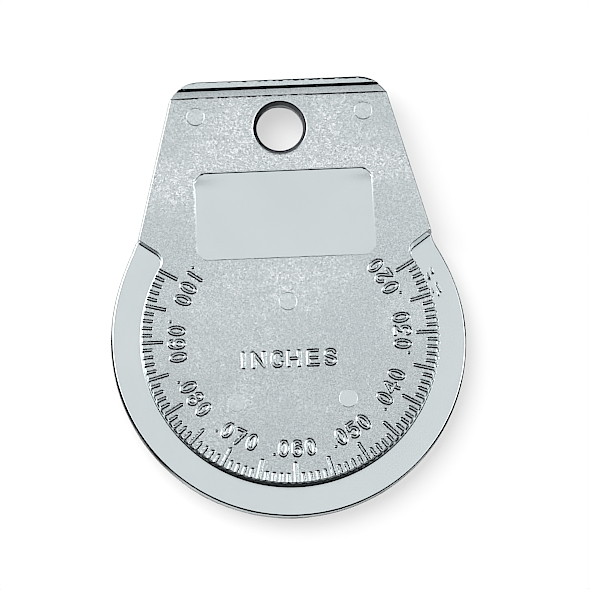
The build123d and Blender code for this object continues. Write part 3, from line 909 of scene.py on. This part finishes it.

# the hang hole's wall is painted nearly black, a painted shade for the dark that the bore reflects
dark = bpy.data.materials.new("plated_zinc_bore")
D = Tree(dark)
co = D.node("ShaderNodeTexCoord").outputs["Object"]
tone = D.mix(D.noise(co, 900.0, 3.0, 0.6), (0.014, 0.015, 0.017), (0.042, 0.044, 0.046))
rough = D.node("ShaderNodeBump", inputs={"Strength": 0.6, "Distance": 0.00003, "Height": D.noise(co, 3000.0, 2.0, 0.5)})
D.node("ShaderNodeOutputMaterial", inputs={"Surface": D.node("ShaderNodeBsdfPrincipled", inputs={"Base Color": tone,
       "Metallic": 0.0, "Specular IOR Level": 0.25, "Roughness": 0.45, "Normal": rough})})
gauge.data.materials.append(dark)
tri_xy = np.concatenate([fxy[ftri].mean(1), bxy[btri].mean(1), np.tile((0.0, HOLE_Y - HOLE_R), (2 * RING_N, 1))])
rho = np.hypot(tri_xy[:, 0], tri_xy[:, 1] - HOLE_Y)
in_bore = (rho < HOLE_FRONT_R - 0.02) & (np.arange(len(rho)) < len(ftri))
gauge.data.polygons.foreach_set("material_index", in_bore.astype(np.int32))

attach(gauge, "root")
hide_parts("gauge_body")

# ------------------------------------------------------------------------------------------------ floor, light, camera
me = bpy.data.meshes.new("floor")
me.from_pydata([(-1.2, -1.2, -2e-5), (1.2, -1.2, -2e-5), (1.2, 1.2, -2e-5), (-1.2, 1.2, -2e-5)], [], [(0, 1, 2, 3)])
floor = bpy.data.objects.new("floor", me)
bpy.context.scene.collection.objects.link(floor)
fmat = bpy.data.materials.new("floor")
F = Tree(fmat)
# to the camera the sheet under the gauge glows evenly, so its shadows are faint, with the glow dimmed under the hang
# hole as a painted shadow; in the gauge's own gloss it is plain card
hole_shadow_spot = F.node("ShaderNodeVectorMath", operation="DISTANCE", inputs={0: F.node("ShaderNodeTexCoord").outputs["Object"], 1: (0.0, HOLE_Y / 1000, 0.0)})
glow = F.node("ShaderNodeEmission", inputs={"Color": (1, 1, 1, 1), "Strength": F.ramp(hole_shadow_spot.outputs["Value"], 0.0035, 0.0055, 0.59, 0.68)})
cloth = F.node("ShaderNodeBsdfDiffuse", inputs={"Color": (0.10, 0.10, 0.10, 1)})
card = F.node("ShaderNodeBsdfDiffuse", inputs={"Color": (0.25, 0.25, 0.25, 1)})
seen = F.node("ShaderNodeLightPath").outputs["Is Camera Ray"]
F.node("ShaderNodeOutputMaterial", inputs={"Surface": F.node("ShaderNodeMixShader", inputs={0: seen, 1: card,
       2: F.node("ShaderNodeAddShader", inputs={0: glow, 1: cloth})})})
me.materials.append(fmat)

world = bpy.data.worlds.new("studio")
bpy.context.scene.world = world
world.use_nodes = True
W = Tree(world)
gen = W.node("ShaderNodeTexCoord").outputs["Generated"]
sep = W.node("ShaderNodeSeparateXYZ", inputs={"Vector": gen})
dy = sep.outputs["Y"]
left, right = W.ramp(sep.outputs["X"], -0.35, -0.80), W.ramp(sep.outputs["X"], 0.45, 0.85)
corner = W.ramp(sep.outputs["X"], -0.12, -0.50)
lower = W.ramp(W.math("MULTIPLY_ADD", W.math("ADD", left, right), -0.20, dy), -0.34, -0.12)
upper = W.ramp(W.math("MULTIPLY_ADD", right, 0.26, W.math("MULTIPLY_ADD", corner, -0.22, dy)), 0.38, 0.50)
band = W.math("SUBTRACT", lower, upper)
side = W.ramp(W.math("ABSOLUTE", sep.outputs["X"]), 0.19, 0.62)
strength = W.math("MULTIPLY_ADD", band, W.math("MULTIPLY_ADD", side, 1.7, 0.97), 0.07)
far = W.math("MULTIPLY", W.ramp(W.math("ABSOLUTE", dy), 0.80, 0.94), W.ramp(sep.outputs["Z"], 0.0, 0.12))
strength = W.math("MAXIMUM", strength, W.math("MULTIPLY", far, 0.20))
bg = W.node("ShaderNodeBackground", inputs={"Color": (1, 1, 1, 1), "Strength": strength})
W.node("ShaderNodeOutputWorld", inputs={"Surface": bg})


def area(name, place, target, size, power, glossy=False):
    li = bpy.data.lights.new(name, "AREA")
    li.shape = "RECTANGLE"
    li.size, li.size_y = size
    li.energy = power
    ob = bpy.data.objects.new(name, li)
    bpy.context.scene.collection.objects.link(ob)
    ob.location = place
    ob.rotation_euler = (Vector(target) - Vector(place)).to_track_quat("-Z", "Y").to_euler()
    ob.visible_glossy = glossy
    ob.visible_camera = False
    return ob


area("floor_fill", (-0.38, 0.30, 0.85), (0, 0, 0), (0.8, 0.8), 36.0)

cam = bpy.data.cameras.new("camera")
cam.sensor_width = 36.0
cam.lens = 36.0 * 6651.63 / 590
cam.clip_start, cam.clip_end = 0.01, 10.0
camera = bpy.data.objects.new("camera", cam)
bpy.context.scene.collection.objects.link(camera)
tx, ty, roll = (math.radians(v) for v in (12.032, 1.3215, 2.352))
cx, sx, cy, sy, cr, sr = math.cos(tx), math.sin(tx), math.cos(ty), math.sin(ty), math.cos(roll), math.sin(roll)
right = Vector((cr * cy - sr * sx * sy, -sr * cy - cr * sx * sy, cx * sy))
up = Vector((sr * cx, cr * cx, sx))
behind = Vector((-cr * sy - sr * sx * cy, sr * sy - cr * sx * cy, cx * cy))
place = (0.7197 * right + 5.8717 * up + 768.09 * behind) / 1000
m = Matrix((right, up, behind)).transposed().to_4x4()
m.translation = place
camera.matrix_world = m
bpy.context.scene.camera = camera
bpy.context.scene.view_settings.view_transform = "Standard"
bpy.context.scene.view_settings.look = "None"

# a little of the photograph's crispness
scene = bpy.context.scene
scene.use_nodes = True
scene.node_tree.nodes.clear()
layers = scene.node_tree.nodes.new("CompositorNodeRLayers")
crisp = scene.node_tree.nodes.new("CompositorNodeFilter")
crisp.filter_type = "SHARPEN"
crisp.inputs["Fac"].default_value = 0.10
final = scene.node_tree.nodes.new("CompositorNodeComposite")
scene.node_tree.links.new(layers.outputs["Image"], crisp.inputs["Image"])
scene.node_tree.links.new(crisp.outputs["Image"], final.inputs["Image"])
